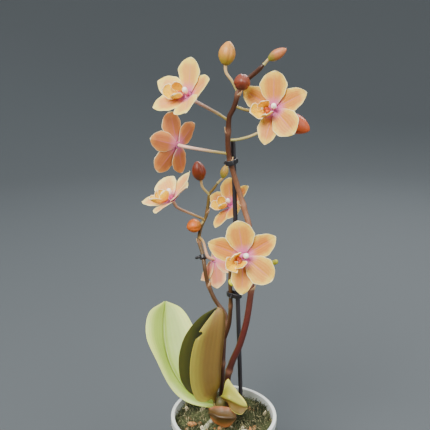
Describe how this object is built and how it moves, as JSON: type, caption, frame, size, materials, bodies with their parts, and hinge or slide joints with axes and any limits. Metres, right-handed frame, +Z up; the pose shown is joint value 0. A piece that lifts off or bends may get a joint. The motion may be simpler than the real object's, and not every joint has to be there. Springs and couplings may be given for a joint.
{
  "type": "potted orchid",
  "caption": "Small orchid with two arching flower spikes, open flowers, buds and fleshy leaves, tied to a thin stake in a round plastic pot.",
  "frame": {"origin": "centre of the pot's flat underside, where it meets the surface it stands on", "axes": "+Z up along the pot's axis; -Y towards the side that the front flowers face"},
  "size_m": [0.1052, 0.0914, 0.3058],
  "materials": {
    "pot_plastic": "satin moulded",
    "moss": "rough dry moss",
    "crown_green": "matt living stem",
    "stake_dark": "matt",
    "leaf_green": "waxy satin leaf",
    "leaf_olive": "waxy satin leaf",
    "spike_brown": "satin living stem",
    "spike_olive": "satin living stem",
    "clip_yellow_green": "glossy",
    "clip_black": "satin",
    "bark": "dry rough bark",
    "root_green": "matt velvety root",
    "bud_skin": "waxy satin",
    "sepal_peach": "soft matt petal",
    "petal_peach": "soft matt petal",
    "lip_yellow": "waxy satin",
    "column_white": "waxy satin",
    "stalk_green": "waxy satin stem"
  },
  "bodies": {
    "root": {"bark_chip_pale": "bark", "bark_chip_tan": "bark", "bud_end_on": "bud_skin", "bud_opening": "bud_skin", "bud_rear_orange": "bud_skin", "bud_rear_tip": "bud_skin", "bud_rear_upper": "bud_skin", "bud_spike_end": "bud_skin", "bud_top": "bud_skin", "clip_green": "clip_yellow_green", "clip_lower": "clip_black", "clip_rear": "clip_black", "clip_upper": "clip_black", "flower_front_column": "column_white", "flower_front_lip": "lip_yellow", "flower_front_petals": "petal_peach", "flower_front_sepals": "sepal_peach", "flower_front_stalk": "stalk_green", "flower_left_back_column": "column_white", "flower_left_back_lip": "lip_yellow", "flower_left_back_petals": "petal_peach", "flower_left_back_sepals": "sepal_peach", "flower_left_back_stalk": "stalk_green", "flower_rear_centre_column": "column_white", "flower_rear_centre_lip": "lip_yellow", "flower_rear_centre_petals": "petal_peach", "flower_rear_centre_sepals": "sepal_peach", "flower_rear_centre_stalk": "stalk_green", "flower_rear_left_column": "column_white", "flower_rear_left_lip": "lip_yellow", "flower_rear_left_petals": "petal_peach", "flower_rear_left_sepals": "sepal_peach", "flower_rear_left_stalk": "stalk_green", "flower_rear_low_lip_and_column": "lip_yellow", "flower_rear_low_perianth": "petal_peach", "flower_rear_low_stalk": "stalk_green", "flower_spike_front": "spike_brown", "flower_spike_rear": "spike_olive", "flower_top_left_column": "column_white", "flower_top_left_lip": "lip_yellow", "flower_top_left_petals": "petal_peach", "flower_top_left_sepals": "sepal_peach", "flower_top_left_stalk": "stalk_green", "flower_top_right_column": "column_white", "flower_top_right_lip": "lip_yellow", "flower_top_right_petals": "petal_peach", "flower_top_right_sepals": "sepal_peach", "flower_top_right_stalk": "stalk_green", "growing_medium": "moss", "leaf_large": "leaf_green", "leaf_small_front": "leaf_olive", "leaf_small_right": "leaf_olive", "leaf_upright": "leaf_olive", "plant_crown": "crown_green", "pot": "pot_plastic", "stake": "stake_dark", "surface_root": "root_green"}
  },
  "joints": []
}
